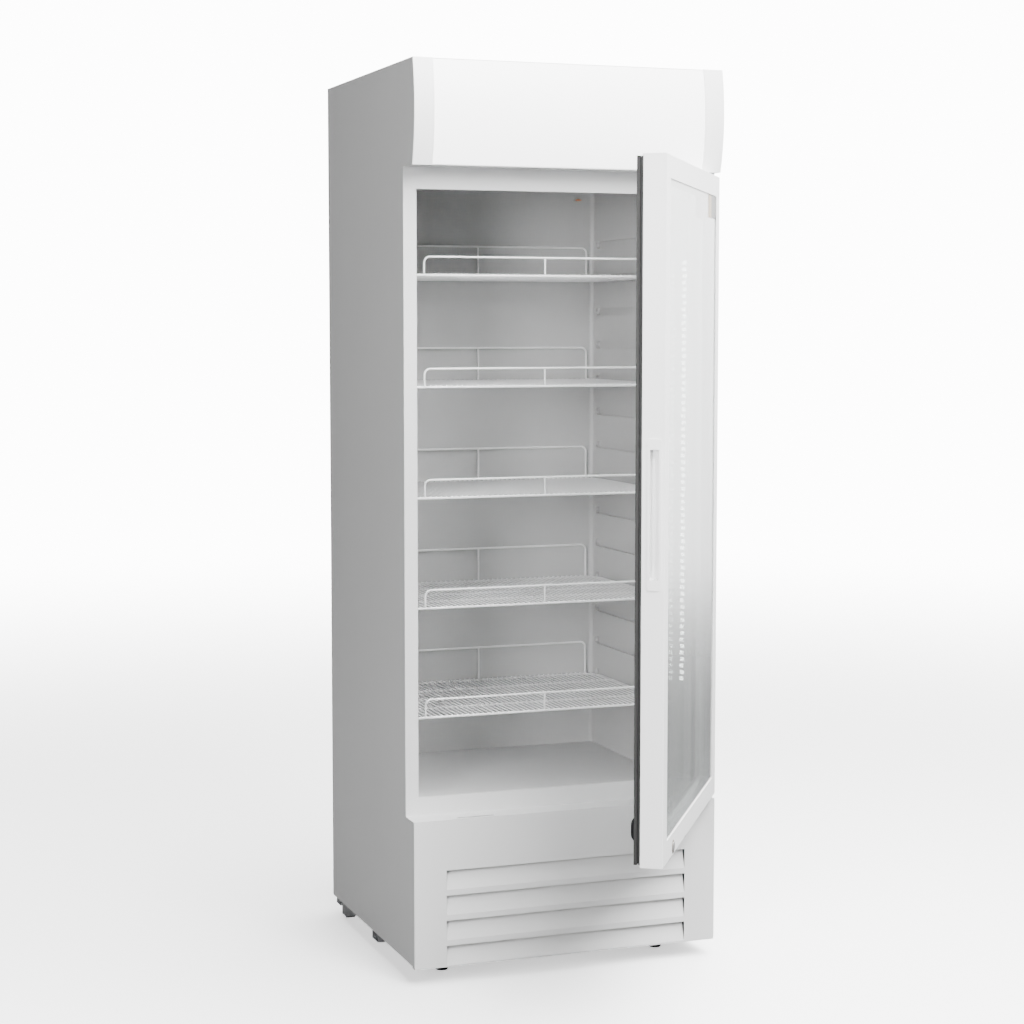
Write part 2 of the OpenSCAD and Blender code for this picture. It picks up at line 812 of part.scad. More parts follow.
// housing under the ceiling, with the fan's mouth in front and a drain tray below
module evaporator_cover() {
    t = 1.5;
    color("white") placed() {
        difference() {
            span([-evap_w, evap_front, evap_z], [evap_w, evap_back, ceil_z]);
            span([t - evap_w, evap_front + t, evap_z + t], [evap_w - t, evap_back - t, ceil_z + over]);
            translate([0, 0, evap_fan_z]) rod_y(evap_fan_r + 4, evap_front - over, evap_front + t + over);
            for (i = [-4 : 4])
                span([i * 44 - 16, evap_back - 70, evap_z - over],
                    [i * 44 + 16, evap_back - 30, evap_z + t + over]);
            translate([pipe_x, 0, evap_fan_z]) rod_y(2 * tube_d, evap_back - t - over, evap_back + over);
            translate([drain_x, 0, evap_z + 2 * drain_r])
                rod_y(drain_r + run_gap, evap_back - t - over, evap_back + over);
        }
        translate([0, 0, evap_fan_z]) intersection() {
            union() {
                for (a = [0, 60, 120]) rotate([0, a, 0]) span([-evap_fan_r - 8, evap_front, -1.5],
                    [evap_fan_r + 8, evap_front + t, 1.5]);
                for (r = [evap_fan_r / 3, evap_fan_r * 2 / 3]) difference() {
                    rod_y(r + 1.5, evap_front, evap_front + t);
                    rod_y(r - 1.5, evap_front - over, evap_front + t + over);
                }
            }
            rod_y(evap_fan_r + 6, evap_front, evap_front + t);
        }
    }
}

// finned coil: fins on a core, with return bends at both ends
module coil(w, d, h, fin_pitch, rows) {
    core = d / 3;
    fins = floor(w / fin_pitch);
    span([-w / 2, core, 0], [w / 2, 2 * core, h]);
    for (i = [0 : fins])
        translate([-w / 2 + i * w / fins, 0, 0]) span([-fin_t / 2, 0, 0], [fin_t / 2, d, h]);
    for (i = [0 : rows - 1], s = [-1, 1])
        translate([s * w / 2, d / 2, (i + 0.5) * h / rows]) rotate([90, 0, 90 * s])
            rotate_extrude(angle = 180) translate([h / rows / 4, 0]) circle(d = tube_d * 0.7, $fn = 24);
}

module evaporator_coil() {
    w = 2 * evap_w - 80;
    h = evap_h - 30;
    d = 120;
    color("silver") placed() {
        translate([0, coil_y - d, ceil_z - h]) coil(w, d, h, 12, 4);
    }
}

// axial fan: hub and blades turning about Y, centred on its axis
module fan(r, hub_r, depth, blades) {
    difference() {
        union() {
            rod_y(hub_r, 0, depth);
            for (i = [0 : blades - 1]) rotate([0, i * 360 / blades, 0]) intersection() {
                translate([hub_r * 0.8, depth / 2, 0]) rotate([32, 0, 0])
                    span([0, -0.8, -r * 0.34], [r, 0.8, r * 0.34]);
                rod_y(r, 0, depth);
            }
        }
        rod_y(shaft_r + run_gap, -over, depth - 3);
    }
}

module evaporator_fan_blades() {
    color("dimgray") placed() translate([0, evap_front + 34, evap_fan_z]) mirror([0, 1, 0])
        fan(evap_fan_r - 2, 17, 22, 5);
}

module evaporator_fan_motor() {
    y = evap_front + 37;
    strap = 8;
    color("dimgray") placed() {
        translate([0, 0, evap_fan_z]) {
            rod_y(motor_r, y, y + 40);
            rod_y(shaft_r, y - 20, y + eps);
        }
        span([-strap, y + 10, evap_z + 1.5], [strap, y + 14, ceil_z]);
    }
}

// sensor clipped to the back wall near the ceiling
module temperature_probe() {
    at = [cav_w - 39, back_y, evap_z - 40];
    color("peru") placed() translate(at) {
        span([-3, -4.6, -2.5], [3, 0, 2.5]);
        translate([0, -3, 0]) rod_x(1.6, -7, 7);
    }
}

// ---------------------------------------------------------------- machine space

// domed compressor shell with a weld flange, foot plate and tube stubs
module compressor() {
    low = pan_top + comp_foot;
    plate = [2 * comp_feet()[3].x + 28, 2 * comp_feet()[3].y + 28, 3];
    dome = 26;
    color("black") placed() translate([comp_at.x, comp_at.y, low]) {
        difference() {
            span([-plate.x / 2, -plate.y / 2, 0], [plate.x / 2, plate.y / 2, plate.z]);
            for (p = comp_feet()) translate([p.x, p.y, -over]) cylinder(h = plate.z + 2 * over, r = 5.2);
        }
        rotate_extrude() polygon(concat([[0, plate.z - eps], [comp_r * 0.7, plate.z - eps]],
            [for (a = [-60 : 15 : 0]) [comp_r - dome + dome * cos(a), plate.z + dome + dome * sin(a)]],
            [for (a = [0 : 15 : 75])
                [comp_r - dome + dome * cos(a), plate.z + comp_h - dome + dome * sin(a)]],
            [[comp_r - dome, plate.z + comp_h], [0, plate.z + comp_h]]));
        translate([0, 0, comp_h * 0.55]) cylinder(h = 6, r = comp_r + 3);
        span([-22, comp_r - 12, comp_h * 0.2], [22, comp_r + 14, comp_h * 0.2 + 48]);
        translate([-comp_r - 14, 0, stub_z - low]) rod_x(tube_d / 2 + 1, 0, 20);
        translate([suction_x - comp_at.x, 0, comp_h - 12]) cylinder(h = 27, r = tube_d / 2 + 1);
    }
}

function comp_feet() = [for (sx = [-1, 1], sy = [-1, 1]) [sx * (comp_r + 12), sy * (comp_r - 28)]];

module compressor_mounts() {
    color("black") placed() translate([comp_at.x, comp_at.y, pan_top])
        for (p = comp_feet()) translate([p.x, p.y, 0]) {
            cylinder(h = comp_foot, r = 12);
            cylinder(h = comp_foot + 6, r = 5);
        }
}

module condenser() {
    color("dimgray") placed() translate([cond_x, cond_y, pan_top]) {
        translate([0, 0, cond_lift]) coil(cond_w, cond_d, cond_h, 11, cond_rows);
        mirrored() translate([cond_w / 2 - 8, cond_d / 3, 0]) {
            span([-1, 0, 0], [1, cond_d / 3, cond_lift + eps]);
            span([-8, 0, 0], [8, cond_d / 3, 2]);
        }
    }
}

// shroud plate behind the condenser, with the fan motor on its bracket
module condenser_fan_mount() {
    t = 1.5;
    leg_z = pan_top + 14;
    leg_w = cond_w / 2 - 60;
    motor_y = shroud_y + 44;
    top = pan_top + cond_lift + cond_h;
    color("silver") placed() translate([cond_x, 0, 0]) {
        difference() {
            union() {
                span([-cond_w / 2, shroud_y, leg_z], [cond_w / 2, shroud_y + t, top]);
                span([-leg_w, shroud_y, pan_top], [leg_w, shroud_y + t, leg_z + eps]);
            }
            translate([0, 0, fan_z]) rod_y(fan_r + 5, shroud_y - over, shroud_y + t + over);
        }
        difference() {
            translate([0, 0, fan_z]) rod_y(fan_r + 6.5, shroud_y, shroud_y + 16);
            translate([0, 0, fan_z]) rod_y(fan_r + 5, shroud_y - over, shroud_y + 16 + over);
        }
        translate([0, 0, fan_z]) {
            rod_y(motor_r, motor_y, motor_y + 44);
            rod_y(shaft_r, motor_y - 20, motor_y + eps);
        }
        span([-10, motor_y + 12, pan_top], [10, motor_y + 16, fan_z]);
        span([-30, motor_y + 4, pan_top], [30, motor_y + 24, pan_top + 2]);
    }
}

module condenser_fan_blades() {
    color("dimgray") placed() translate([cond_x, shroud_y + 41, fan_z]) mirror([0, 1, 0])
        fan(fan_r, 26, 30, 5);
}

// evaporation tray on the floor pan
module drip_pan() {
    t = 1.5;
    h = 24;
    low = [drain_x - 90, tray_front, pan_top];
    high = [drain_x + 100, tray_back, pan_top + h];
    color("silver") placed() difference() {
        span(low, high);
        span([low.x + t, low.y + t, low.z + t], [high.x - t, high.y - t, high.z + over]);
    }
}

function unit(v) = v / norm(v);

// how far from a corner a bend starts, between the directions u and v
function trim(u, v, bend) = bend * tan(acos(u * v) / 2);

// a tube through a list of points, with a round bend at each corner
module bent_tube(points, r, bend) {
    n = len(points) - 1;
    ways = [for (i = [0 : n - 1]) unit(points[i + 1] - points[i])];
    for (i = [0 : n - 1]) {
        way = ways[i];
        from = points[i] + (i > 0 ? trim(ways[i - 1], way, bend) : 0) * way;
        to = points[i + 1] - (i < n - 1 ? trim(way, ways[i + 1], bend) : 0) * way;
        translate(from) rotate([0, acos(way.z), atan2(way.y, way.x)])
            cylinder(h = norm(to - from), r = r);
        if (i < n - 1) translate(to) elbow(way, ways[i + 1], r, bend);
    }
}

// the bend that starts at the origin along u and ends along v
module elbow(u, v, r, bend) {
    side = unit(v - (u * v) * u);
    axis = cross(-side, u);
    multmatrix([
        [-side.x, u.x, axis.x, side.x * bend],
        [-side.y, u.y, axis.y, side.y * bend],
        [-side.z, u.z, axis.z, side.z * bend],
        [0, 0, 0, 1]
    ]) rotate_extrude(angle = acos(u * v)) translate([bend, 0]) circle(r);
}

// carries melt water from the evaporator tray down the back wall to the drip pan
module drain_tube() {
    z = evap_z + 2 * drain_r;
    color("lightgray") placed() difference() {
        bent_tube([[drain_x, evap_back - 8, z], [drain_x, chase_y, z],
            [drain_x, chase_y, pan_top + 10]], drain_r, drain_bend);
        bent_tube([[drain_x, evap_back - 10, z], [drain_x, chase_y, z],
            [drain_x, chase_y, pan_top + 8]], drain_r - 1.5, drain_bend);
    }
}

module filter_drier() {
    neck = 4;
    body = 10;
    long = drier_top - drier_low;
    color("peru") placed() translate([drier_at.x, drier_at.y, drier_low]) rotate_extrude()
        polygon([[0, 0], [neck, 0], [neck, 10], [body, 22], [body, long - 22],
            [neck, long - 10], [neck, long], [0, long]]);
}

// suction, liquid and discharge lines between the compressor, the two coils and the drier
module refrigerant_pipes() {
    r = tube_d / 2;
    bend = 2.5 * r;
    low = pan_top + 24;
    suction_z = deck_z - 36;
    liquid_z = deck_z - 56;
    cond_side = cond_x + cond_w / 2 + fin_t / 2;
    inlet_x = cond_side + 16;
    inlet_y = cond_y + cond_d / 2;
    inlet_z = pan_top + cond_lift + cond_h / cond_rows;
    outlet_x = comp_at.x - comp_r - 38;
    outlet_z = pan_top + cond_lift + cond_h - cond_h / cond_rows;
    color("peru") placed() {
        bent_tube([[suction_x, comp_at.y, comp_top], [suction_x, comp_at.y, suction_z],
            [suction_x, chase_y, suction_z], [suction_x, chase_y, evap_fan_z - tube_d],
            [suction_x, coil_y, evap_fan_z - tube_d]], r, bend);
        bent_tube([[drier_at.x, drier_at.y, drier_top], [drier_at.x, drier_at.y, liquid_z],
            [liquid_x, drier_at.y, liquid_z], [liquid_x, chase_y, liquid_z],
            [liquid_x, chase_y, evap_fan_z + tube_d], [liquid_x, coil_y, evap_fan_z + tube_d]], r, bend);
        bent_tube([[drier_at.x, drier_at.y, drier_low], [drier_at.x, drier_at.y, low],
            [inlet_x, drier_at.y, low], [inlet_x, inlet_y, low], [inlet_x, inlet_y, inlet_z],
            [cond_side, inlet_y, inlet_z]], 0.7 * r, bend);
        bent_tube([[comp_at.x - comp_r - 14, comp_at.y, stub_z], [outlet_x, comp_at.y, stub_z],
            [outlet_x, comp_at.y, outlet_z], [outlet_x, inlet_y, outlet_z],
            [cond_side, inlet_y, outlet_z]], r, bend);
    }
}

// box of the wiring, ahead of the drip pan, with the cord's way in at its back
module control_box() {
    size = [110, 80, 96];
    rear = tray_front - 23;
    color("dimgray") placed() difference() {
        span([gland_at.x - 60, rear - size.y, pan_top], [gland_at.x - 60 + size.x, rear, pan_top + size.z]);
        translate([gland_at.x, 0, gland_at.y]) rod_y(7, rear - 30, rear + over);
    }
}

// ---------------------------------------------------------------- hinges, feet, rollers

function screw_places() = [[pivot.x - 17, face_y - 12], [pivot.x + 5, face_y - 9]];

// X-Y outline of a hinge bracket
module bracket_plan() {
    nose = 12;
    deep = face_y - pivot.y;
    translate(pivot) {
        circle(nose);
        polygon([[-2 * nose, deep], [-2 * nose, deep - 16], [-nose * sin(45), -nose * sin(45)],
            [nose, 0], [nose, deep]]);
    }
}

// one bracket, plate down: plate, shoulder and pin, with two countersunk holes
module bracket(gap) {
    difference() {
        union() {
            linear_extrude(bracket_t) bracket_plan();
            translate([pivot.x, pivot.y, 0]) cylinder(h = gap - slip, r = pin_r + 3);
            translate([pivot.x, pivot.y, 0]) cylinder(h = gap + pin_len, r = pin_r);
        }
        for (p = screw_places()) translate([p.x, p.y, 0]) {
            translate([0, 0, -over]) cylinder(h = bracket_t + 2 * over, r = screw_r);
            translate([0, 0, bracket_t - screw_r])
                cylinder(h = screw_r + eps, r1 = screw_r, r2 = 2 * screw_r);
        }
    }
}

module screw() {
    r = screw_r - run_gap;
    translate([0, 0, -skin_t]) cylinder(h = bracket_t + skin_t - screw_r + eps, r = r);
    translate([0, 0, bracket_t - screw_r]) cylinder(h = screw_r - 0.1, r1 = r, r2 = r + screw_r - 0.1);
}

module hinge_brackets() {
    color("silver") placed() {
        translate([0, 0, base_top]) bracket(gap_low);
        translate([0, 0, canopy_z]) mirror([0, 0, 1]) bracket(gap_high);
    }
}

module hinge_screws() {
    color("gray") placed() for (p = screw_places()) {
        translate([p.x, p.y, base_top]) screw();
        translate([p.x, p.y, canopy_z]) mirror([0, 0, 1]) screw();
    }
}

// levelling foot: pad, neck and stud
module foot(x) {
    color("black") placed() translate([x, foot_y, 0]) {
        rotate_extrude() polygon([[0, 0], [foot_r - 1, 0], [foot_r, 1], [foot_r, foot_pad_h - 3],
            [foot_r - 5, foot_pad_h], [stud_r + 2, foot_pad_h + 5], [0, foot_pad_h + 5]]);
        translate([0, 0, foot_pad_h]) cylinder(h = base_gap + 10 - foot_pad_h, r = stud_r);
    }
}

module foot_left() {
    foot(-foot_x);
}

module foot_right() {
    foot(foot_x);
}

// U-shaped brackets with their axles, under the back of the floor pan
module roller_brackets() {
    front = -100;
    rear = 21;
    edge_z = 5;
    cheek = 2;
    gap = roller_w / 2 + 1.5;
    color("silver") placed() mirrored() translate([roller_pos.x, roller_pos.y, 0]) {
        span([-gap - cheek, front, base_gap - cheek], [gap + cheek, rear, base_gap]);
        for (s = [-1, 1]) translate([s * (gap + cheek / 2), 0, 0]) across(-cheek / 2, cheek / 2)
            polygon([[front, base_gap], [front, base_gap - 2 * cheek], [edge_z - roller_r, edge_z],
                [rear, edge_z], [rear, base_gap]]);
        translate([0, 0, roller_r]) rod_x(shaft_r, -gap - eps, gap + eps);
    }
}

module roller(side) {
    color("dimgray") placed() translate([side * roller_pos.x, roller_pos.y, roller_r]) difference() {
        rod_x(roller_r, -roller_w / 2, roller_w / 2);
        rod_x(shaft_r + run_gap, -roller_w, roller_w);
        for (s = [-1, 1]) difference() {
            rod_x(roller_r - 3, s * roller_w / 2 - 2, s * roller_w / 2 + 2);
            rod_x(shaft_r + 2.5, -roller_w, roller_w);
        }
    }
}

module roller_left() {
    roller(-1);
}

module roller_right() {
    roller(1);
}

// ---------------------------------------------------------------- shelves

// a straight wire between two points
module wire(a, b, d, sides = 12) {
    run = b - a;
    translate(a) rotate([0, acos(run.z / norm(run)), atan2(run.y, run.x)])
        cylinder(h = norm(run), d = d, $fn = sides);
}

// bent hoop in the X-Z plane that stands on the shelf's frame wire, with a middle post
module guard(y, height) {
    w = cav_w - guard_in;
    bend = 13;
    translate([0, y, 0]) {
        mirrored() {
            wire([w, 0, 0], [w, 0, height - bend], hoop_d);
            translate([w - bend, 0, height - bend]) rotate([90, 0, 0])
                rotate_extrude(angle = 90) translate([bend, 0]) circle(d = hoop_d, $fn = 12);
        }
        wire([bend - w, 0, height], [w - bend, 0, height], hoop_d);
        wire([0, 0, 0], [0, 0, height], bar_d);
    }
}

// shelf with its frame wire, cross bars, deck wires and guards, centred on its frame wire
module shelf(level) {
    edge = shelf_w - wire_d / 2;
    bars = 4;
    run = shelf_back - shelf_y;
    sunk = 0.9;
    deck_z = wire_d / 2 + deck_d / 2 - sunk;
    deck_wires = floor((edge - 6) / deck_pitch);
    color("white") placed() translate([0, 0, shelf_low + level * shelf_step * groove_pitch]) {
        wire([-shelf_w, shelf_y, 0], [shelf_w, shelf_y, 0], wire_d);
        wire([shelf_corner - edge, shelf_back, 0], [edge - shelf_corner, shelf_back, 0], side_d);
        mirrored() {
            wire([edge, shelf_y, 0], [edge, shelf_back - shelf_corner, 0], side_d);
            translate([edge - shelf_corner, shelf_back - shelf_corner, 0])
                rotate_extrude(angle = 90) translate([shelf_corner, 0]) circle(d = side_d, $fn = 12);
        }
        for (i = [1 : bars - 1])
            wire([-edge, shelf_y + i * run / bars, 0], [edge, shelf_y + i * run / bars, 0], bar_d);
        // the deck is dished a hair towards its middle
        for (i = [-deck_wires : deck_wires]) {
            x = i * deck_pitch;
            rise = 0.2 * pow(x / edge, 2);
            wire([x, shelf_y + rise, deck_z + rise], [x, deck_end(abs(x), edge) - rise, deck_z + rise],
                deck_d, 8);
        }
        guard(shelf_y, guard_front);
        guard(shelf_back, guard_back);
    }
}

// where a deck wire meets the frame wire at the back, allowing for its round corner
function deck_end(x, edge) = x <= edge - shelf_corner ? shelf_back
    : shelf_back - shelf_corner + sqrt(pow(shelf_corner, 2) - pow(x - edge + shelf_corner, 2));

module shelf_1() {
    shelf(4);
}

module shelf_2() {
    shelf(3);
}

module shelf_3() {
    shelf(2);
}

module shelf_4() {
    shelf(1);
}

module shelf_5() {
    shelf(0);
}

// ---------------------------------------------------------------- door

// rectangle in X-Z, set in from the door's edges on all sides
module door_rect(inset) {
    translate([inset - half_w, door_low + inset]) square([cab_w - 2 * inset, door_h - 2 * inset]);
}

module door_ring(outer, inner) {
    difference() {
        door_rect(outer);
        door_rect(inner);
    }
}

// blind holes for the two hinge pins
module hinge_bores() {
    deep = pin_len + 2;
    for (z = [door_low - over, door_high - deep])
        translate([pivot.x, pivot.y, z]) cylinder(h = deep + over, r = pin_r + run_gap);
}

// the grooves that hold the glass and the gasket, shared by all four frame members
module frame_grooves() {
    back(lip_t, lip_t + unit_t) door_rect(rail_w - glaze_d);
    back(door_t - dart_d, door_t + over) door_ring(dart_in - dart_w / 2, dart_in + dart_w / 2);
}

// section of a frame member, from the glass outwards, with its two outer edges rounded
module bar_section() {
    square([rail_w - edge_r, door_t]);
    translate([0, edge_r]) square([rail_w, door_t - 2 * edge_r]);
    for (y = [edge_r, door_t - edge_r]) translate([rail_w - edge_r, y]) circle(edge_r);
}

// right-hand upright of the frame, mitred at both ends
module stile_bar() {
    difference() {
        intersection() {
            up(door_low, door_high) translate([glass_w, 0]) bar_section();
            back(-over, door_t + over) polygon([[glass_w, glass_low], [half_w, door_low],
                [half_w, door_high], [glass_w, glass_high]]);
        }
        frame_grooves();
    }
}

// top rail of the frame, mitred at both ends
module rail_bar() {
    difference() {
        intersection() {
            across(-half_w, half_w) translate([0, glass_high]) mirror([1, -1, 0]) bar_section();
            back(-over, door_t + over) polygon([[glass_w, glass_high], [half_w, door_high],
                [-half_w, door_high], [-glass_w, glass_high]]);
        }
        frame_grooves();
        hinge_bores();
    }
}

module door_hinge_stile() {
    color("white") swung() difference() {
        stile_bar();
        hinge_bores();
    }
}

module door_latch_stile() {
    cup_w = grip_w - 6;
    cup_h = grip_h - 36;
    color("white") swung() difference() {
        mirror([1, 0, 0]) stile_bar();
        translate([0, grip_y, grip_z]) across(-half_w - over, grip_d - half_w)
            round_rect(cup_w, cup_h, 4);
    }
}

// finger pocket pressed into the free edge of the door
module handle_insert() {
    flange_t = 1.5;
    cup_w = grip_w - 6 - slip;
    cup_h = grip_h - 36 - slip;
    color("white") swung() translate([0, grip_y, grip_z]) difference() {
        union() {
            across(-half_w - flange_t, -half_w) round_rect(grip_w, grip_h, 5);
            across(-half_w - eps, grip_d - half_w - slip) round_rect(cup_w, cup_h, 4);
        }
        across(-half_w - flange_t - over, grip_d - half_w - slip - 1.5)
            round_rect(cup_w - 3, cup_h - 3, 3);
    }
}

module door_top_rail() {
    color("white") swung() rail_bar();
}

module door_bottom_rail() {
    room = 1.5;
    color("white") swung() difference() {
        translate([0, 0, door_low + door_high]) mirror([0, 0, 1]) rail_bar();
        translate([lock_at.x, 0, lock_at.y]) rod_y(lock_r + run_gap, -over, cam_y);
        span([lock_at.x - cam_w, cam_y - room + 0.5, door_low - over],
            [lock_at.x + cam_len + 4, cam_y + cam_t + room, lock_at.y + cam_w / 2 + 3]);
    }
}

// key lock: barrel through the rail, with the cam that drops into the ledge
module lock_barrel() {
    color("gray") swung() translate([lock_at.x, 0, lock_at.y]) difference() {
        union() {
            rod_y(lock_r + 1.2, -1.5, -0.2);
            rod_y(lock_r, -0.3, cam_y + eps);
            back(cam_y, cam_y + cam_t) union() {
                circle(cam_w / 2);
                translate([0, -cam_w / 2]) square([cam_len, cam_w]);
            }
        }
        span([-1, -2.5, -4], [1, 3, 4]);
    }
}

module pane(y) {
    back(y, y + pane_t) door_rect(rail_w - pane_in);
}

module glass_outer() {
    color([0.85, 0.95, 0.95, 0.3]) swung() pane(lip_t);
}

module glass_inner() {
    color([0.85, 0.95, 0.95, 0.3]) swung() pane(lip_t + pane_t + pane_gap);
}

module glass_spacer() {
    color("silver") swung() back(lip_t + pane_t, lip_t + pane_t + pane_gap)
        door_ring(rail_w - pane_in + 1, rail_w + 3);
}

// magnetic gasket: base flange with its dart, neck and bulb
module door_gasket() {
    neck = 3;
    outer = gasket_in;
    inner = gasket_in + gasket_w;
    // the bulb is trimmed on the hinge side, so that it swings past the face frame
    reach = face_y - pivot.y;
    trim = floor(10 * sqrt(pow(reach - seal_gap / 2, 2) - pow(reach - seal_gap, 2))) / 10;
    color("black") swung() {
        back(door_t - dart_d + slip, door_t + eps)
            door_ring(dart_in - dart_w / 2 + 0.1, dart_in + dart_w / 2 - 0.1);
        back(door_t, door_t + neck) door_ring(outer, inner);
        back(door_t + neck - eps, door_t + 2 * neck + eps) door_ring(outer + neck, inner - neck);
        back(door_t + 2 * neck, door_t + gasket_t) intersection() {
            door_ring(outer, inner);
            translate([-half_w, door_low]) square([half_w + pivot.x + trim, door_h]);
        }
    }
}

side_panel_left();
side_panel_right();
back_panel();
roof_panel();
face_frame();
liner_left();
liner_right();
liner_back();
liner_ceiling();
liner_floor();
insulation_foam();
base_frame();
grille_panel();
control_bezel();
rear_cover();
canopy_box();
canopy_panel();
canopy_ends();
canopy_lamp();
led_channel();
led_lenses();
evaporator_cover();
evaporator_coil();
evaporator_fan_motor();
temperature_probe();
compressor();
compressor_mounts();
condenser();
condenser_fan_mount();
drip_pan();
drain_tube();
filter_drier();
refrigerant_pipes();
control_box();
cord_gland();
hinge_brackets();
hinge_screws();
roller_brackets();
condenser_fan_blades();
evaporator_fan_blades();
thermostat_knob();
foot_left();
foot_right();
roller_left();
roller_right();
shelf_1();
shelf_2();
shelf_3();
shelf_4();
shelf_5();
door_top_rail();
door_bottom_rail();
door_latch_stile();
door_hinge_stile();
glass_outer();
glass_inner();
glass_spacer();
door_gasket();
handle_insert();
lock_barrel();
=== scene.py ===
import math

import bmesh
import bpy
from mathutils import Matrix, Vector


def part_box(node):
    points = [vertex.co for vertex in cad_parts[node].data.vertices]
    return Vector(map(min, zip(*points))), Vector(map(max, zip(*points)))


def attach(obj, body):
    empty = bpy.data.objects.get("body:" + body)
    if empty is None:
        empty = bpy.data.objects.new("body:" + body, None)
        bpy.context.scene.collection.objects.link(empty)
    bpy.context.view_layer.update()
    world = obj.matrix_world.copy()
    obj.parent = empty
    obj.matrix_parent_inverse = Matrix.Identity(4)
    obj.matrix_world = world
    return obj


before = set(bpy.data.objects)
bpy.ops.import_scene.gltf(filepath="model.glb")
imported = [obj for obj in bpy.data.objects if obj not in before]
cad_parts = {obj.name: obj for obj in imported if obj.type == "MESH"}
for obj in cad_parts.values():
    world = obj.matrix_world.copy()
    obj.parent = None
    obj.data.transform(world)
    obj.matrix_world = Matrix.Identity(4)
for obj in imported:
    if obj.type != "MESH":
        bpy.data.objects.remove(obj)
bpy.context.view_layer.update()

# Camera: a long lens at chest height, to the left of the cabinet and turned towards it, placed
# from the middle of the louvred front panel.
front_low, front_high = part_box("grille_panel")
middle = (front_low.x + front_high.x) / 2
face = front_low.y
to_the_left, ahead, height = 1.6658, 4.1803, 1.3599
tipped_down, turned = 4.893, 20.22
camera = bpy.data.objects.new("camera", bpy.data.cameras.new("camera"))
camera.data.lens = 76.3
camera.data.sensor_width = 36
camera.location = (middle - to_the_left, face - ahead, height)
camera.rotation_euler = (math.radians(90 - tipped_down), 0, math.radians(-turned))
bpy.context.collection.objects.link(camera)
bpy.context.scene.camera = camera


class Value:
    """A shader socket that takes part in sums and products."""

    def __init__(self, finish, socket):
        self.finish = finish
        self.socket = socket

    def _combined(self, operation, first, second):
        return self.finish.node("ShaderNodeMath", {"operation": operation}, {0: first, 1: second})

    def __add__(self, other):
        return self._combined("ADD", self, other)

    def __radd__(self, other):
        return self._combined("ADD", other, self)

    def __mul__(self, other):
        return self._combined("MULTIPLY", self, other)

    def __rmul__(self, other):
        return self._combined("MULTIPLY", other, self)


class Finish:
    """A material whose nodes are written as Python expressions."""

    def __init__(self, name):
        self.material = bpy.data.materials.new(name)
        self.material.use_nodes = True
        self.tree = self.material.node_tree
        self.surface = self.tree.nodes["Principled BSDF"]
        self.place = self.node("ShaderNodeTexCoord", out="Object")

    def node(self, kind, settings=None, inputs=None, out=0):
        made = self.tree.nodes.new(kind)
        for key, value in (settings or {}).items():
            setattr(made, key, value)
        for key, value in (inputs or {}).items():
            self.feed(made.inputs[key], value)
        return Value(self, made.outputs[out])

    def feed(self, socket, value):
        if isinstance(value, Value):
            self.tree.links.new(value.socket, socket)
        elif isinstance(value, tuple) and len(value) == 3 and socket.type == "RGBA":
            socket.default_value = (*value, 1)
        else:
            socket.default_value = value

    def noise(self, scale, detail=2, rough=0.5, place=None):
        return self.node("ShaderNodeTexNoise", None,
                         {"Vector": place or self.place, "Scale": scale, "Detail": detail,
                          "Roughness": rough}, "Fac")

    def mix(self, amount, first, second):
        return self.node("ShaderNodeMix", {"data_type": "RGBA"},
                         {"Factor": amount, 6: first, 7: second}, 2)

    def bump(self, height, distance, strength):
        return self.node("ShaderNodeBump", None,
                         {"Height": height, "Distance": distance, "Strength": strength})

    def set(self, **sockets):
        for name, value in sockets.items():
            self.feed(self.surface.inputs[name.replace("_", " ")], value)


# Floor: a wide matt sheet of white studio vinyl that fades into the pale room behind it.
# It looks white to the camera and throws little light back on the cabinet's sides.
floor_half = 30
fade_starts, fade_ends = 2.0, 9.0
floor_shape = bmesh.new()
bmesh.ops.create_grid(floor_shape, x_segments=2, y_segments=2, size=floor_half)
floor_mesh = bpy.data.meshes.new("studio_floor")
floor_shape.to_mesh(floor_mesh)
floor_shape.free()
studio_floor = bpy.data.objects.new("studio_floor", floor_mesh)
bpy.context.collection.objects.link(studio_floor)
vinyl = Finish("studio_vinyl")
seen_directly = vinyl.node("ShaderNodeLightPath", out="Is Camera Ray")
away = vinyl.node("ShaderNodeVectorMath", {"operation": "LENGTH"}, {0: vinyl.place}, "Value")
vinyl.set(Base_Color=vinyl.mix(seen_directly, (0.08, 0.08, 0.08), (0.97, 0.97, 0.97)), Roughness=0.9,
          Emission_Color=vinyl.mix(seen_directly, (0, 0, 0), (1, 1, 1)), Emission_Strength=1.0)
clear = vinyl.tree.nodes.new("ShaderNodeBsdfTransparent")
fade = vinyl.tree.nodes.new("ShaderNodeMixShader")
vinyl.feed(fade.inputs["Fac"], vinyl.node("ShaderNodeMapRange", {"interpolation_type": "SMOOTHSTEP"},
                                          {"Value": away, "From Min": fade_starts,
                                           "From Max": fade_ends}))
vinyl.tree.links.new(vinyl.surface.outputs[0], fade.inputs[1])
vinyl.tree.links.new(clear.outputs[0], fade.inputs[2])
vinyl.tree.links.new(fade.outputs[0], vinyl.tree.nodes["Material Output"].inputs["Surface"])
floor_mesh.materials.append(vinyl.material)

